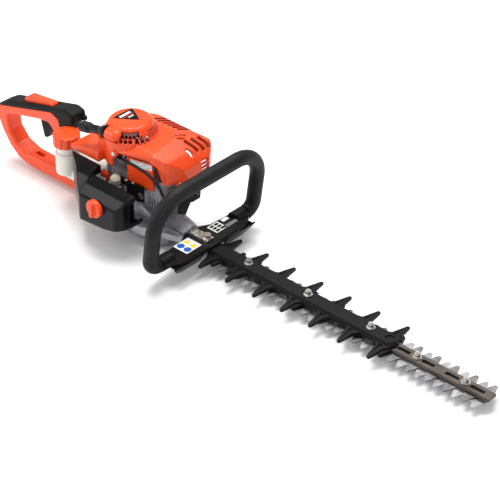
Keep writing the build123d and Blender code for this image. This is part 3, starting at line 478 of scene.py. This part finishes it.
def ring(name, place, major, minor, look):
    """Rubber or metal ring of round section lying on a surface."""
    work = bmesh.new()
    loops = []
    for cos_a, sin_a in disc_corners(1.0, count=32):
        loops.append([work.verts.new(((major + x) * cos_a, (major + x) * sin_a, z))
                      for x, z in disc_corners(minor, count=10)])
    skin_loops(work, loops + loops[:1])
    bmesh.ops.recalc_face_normals(work, faces=work.faces)
    bmesh.ops.transform(work, matrix=place, verts=work.verts)
    finish_piece(work, name, look, smooth=True)


def add_badge(looks):
    """Plain shield on the starter dome with generic bars in place of lettering."""
    top = facing((0.0, 0.0, DOME_TOP), UP)
    shield = shield_corners([(-0.0187, -0.0163), (0.0125, 0.0053), (-0.0177, 0.0200)])
    sticker("badge", shield, top, looks["black_gloss"])
    over = facing((0.0, 0.0, DOME_TOP + LABEL_FILM), UP)
    bars = (("wide", (0.0046, 0.0210, -0.0125, 0.0018), "white_bar"),
            ("thin", (0.0012, 0.0200, -0.0070, 0.0030), "orange"),
            ("small", (0.0026, 0.0100, -0.0030, 0.0042), "white_bar"))
    for name, bar, look in bars:
        sticker(f"badge_bar_{name}", bar_corners(*bar), over, looks[look])


def add_bracket_labels(looks):
    """Plain pictogram labels on the bracket: triangles, discs and bars without lettering."""
    near = facing((0.1355, -0.0300, BRACKET_TOP), UP)
    above = facing((0.1355, -0.0300, BRACKET_TOP + LABEL_FILM), UP)
    sticker("near_label", rounded_corners(0.027, 0.030, 0.0015), near, looks["paper"])
    for i, x in enumerate((-0.0065, 0.0065)):
        triangle = [(x - 0.0055, 0.0018), (x + 0.0055, 0.0018), (x, 0.0118)]
        sticker(f"near_triangle_{i}", triangle, above, looks["yellow"])
        sticker(f"near_disc_{i}", disc_corners(0.0056, x, -0.0068), above, looks["blue"])
    far = facing((0.1345, 0.0310, BRACKET_TOP), UP)
    over = facing((0.1345, 0.0310, BRACKET_TOP + LABEL_FILM), UP)
    sticker("far_label", rounded_corners(0.020, 0.021, 0.001), far, looks["paper"])
    for i in range(3):
        for k in range(2):
            spot = bar_corners(0.0044, 0.0072, -0.0060 + 0.0060 * i, -0.0045 + 0.0090 * k)
            sticker(f"far_mark_{i}_{k}", spot, over, looks["black_matt"])
    small = facing((0.1285, 0.0530, BRACKET_TOP), UP)
    sticker("far_small_label", rounded_corners(0.007, 0.012, 0.001), small, looks["paper"])
    strip = facing((0.1420, 0.0515, BRACKET_TOP), UP)
    sticker("far_grey_strip", rounded_corners(0.0065, 0.026, 0.0008), strip, looks["grey"])


def tube(points, radius, sides=12):
    """bmesh of a round tube through points that lie in one upright plane along X."""
    work = bmesh.new()
    loops = []
    for i, point in enumerate(points):
        before, after = points[max(0, i - 1)], points[min(len(points) - 1, i + 1)]
        turn = facing(point, after - before, (0.0, 1.0, 0.0))
        circle = disc_corners(radius, count=sides)
        loops.append([work.verts.new(turn @ Vector((x, y, 0.0))) for x, y in circle])
    skin_loops(work, loops)
    work.faces.new(loops[0][::-1])
    work.faces.new(loops[-1])
    return work


def add_starter_rope(frame, looks):
    """Rope from the outlet into the grip, laid along the pull."""
    axis = next(joint["axis"] for joint in frame["joints"] if joint["name"] == "starter_pull")
    outlet = Vector(ROPE_OUTLET)
    points = [Vector(ROPE_INSIDE), outlet] + [outlet + Vector(axis) * step for step in ROPE_STEPS]
    mesh = bpy.data.meshes.new("starter_rope")
    work = tube(points, ROPE_RADIUS)
    work.to_mesh(mesh)
    work.free()
    rope = bpy.data.objects.new("starter_rope", mesh)
    bpy.context.scene.collection.objects.link(rope)
    mesh.materials.append(looks["rope"])
    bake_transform(rope)


def add_engine_details(looks):
    """Screws, the rating strip inside the hood and the ring beside the primer bulb."""
    wall = facing((0.0470, -0.02830, 0.1255), BAFFLE_NORMAL)
    strip = rounded_corners(0.036, 0.0095, 0.001)
    sticker("rating_strip", strip, wall, looks["paper"])
    over = facing((0.0470, -0.02845, 0.1255), BAFFLE_NORMAL)
    for i in range(5):
        line = bar_corners(0.0045, 0.0008, -0.012 + 0.006 * i, 0.0018 if i % 2 else -0.0014)
        sticker(f"rating_line_{i}", line, over, looks["grey"])
    screws = (("carburettor_screw_a", (0.0248, -0.0368, 0.0950), UP, 0.0024),
              ("carburettor_screw_b", (0.0370, -0.0354, 0.0950), UP, 0.0020),
              ("hood_screw_side", (0.0060, -0.0415, 0.1330), NEAR, 0.0034),
              ("hood_screw_front", (0.0985, -0.0045, 0.1040), UP, 0.0036))
    for name, point, normal, radius in screws:
        screw_head(name, point, normal, radius, looks["zinc_pale"])
    ring("primer_ring", facing((0.0225, -0.0475, 0.0885), UP), 0.0050, 0.0011, looks["rubber"])


# ---------------------------------------------------------------- stage
def set_stage():
    bpy.ops.mesh.primitive_plane_add(size=12.0, location=(0.3, 0.2, -0.0005))
    floor = bpy.context.object
    floor.name = "floor"
    r = Recipe("floor_white")
    r.surface(r.ramp(r.noise(3.0), ((0.3, 0.83), (0.7, 0.86))),
              r.ramp(r.noise(8.0), ((0.3, 0.6), (0.7, 0.7))))
    floor.data.materials.append(r.material)


def area_light(name, place, target, size, power, tint=(1.0, 1.0, 1.0)):
    data = bpy.data.lights.new(name, "AREA")
    data.shape = "RECTANGLE"
    data.size, data.size_y = size
    data.energy = power
    data.color = tint
    light = bpy.data.objects.new(name, data)
    bpy.context.scene.collection.objects.link(light)
    light.location = place
    light.rotation_euler = (Vector(target) - Vector(place)).to_track_quat("-Z", "Y").to_euler()


def set_lights():
    world = bpy.data.worlds.new("studio")
    bpy.context.scene.world = world
    world.use_nodes = True
    world.node_tree.nodes["Background"].inputs["Color"].default_value = (1.0, 1.0, 1.0, 1.0)
    world.node_tree.nodes["Background"].inputs["Strength"].default_value = 0.55
    middle = (0.15, 0.0, 0.08)
    area_light("key", (-0.3, 0.5, 2.3), middle, (1.8, 1.4), 78.0)
    area_light("front", (1.9, -1.2, 1.1), middle, (1.2, 0.9), 12.0)
    area_light("left", (-1.4, -1.5, 1.2), middle, (0.9, 1.4), 18.0)


def set_camera():
    data = bpy.data.cameras.new("camera")
    data.lens = CAMERA_LENS
    data.sensor_width = 36.0
    data.clip_end = 50.0
    camera = bpy.data.objects.new("camera", data)
    bpy.context.scene.collection.objects.link(camera)
    camera.location = CAMERA_PLACE
    aim = Vector(CAMERA_TOWARD).to_track_quat("-Z", "Y").to_matrix()
    camera.rotation_euler = (aim @ Matrix.Rotation(radians(CAMERA_ROLL), 3, "Z")).to_euler()
    bpy.context.scene.camera = camera


def main():
    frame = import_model()
    looks = make_materials()
    dress_nodes(frame, looks)
    add_badge(looks)
    add_bracket_labels(looks)
    add_engine_details(looks)
    add_starter_rope(frame, looks)
    set_stage()
    set_lights()
    set_camera()
    bpy.context.scene.view_settings.view_transform = "Standard"


main()
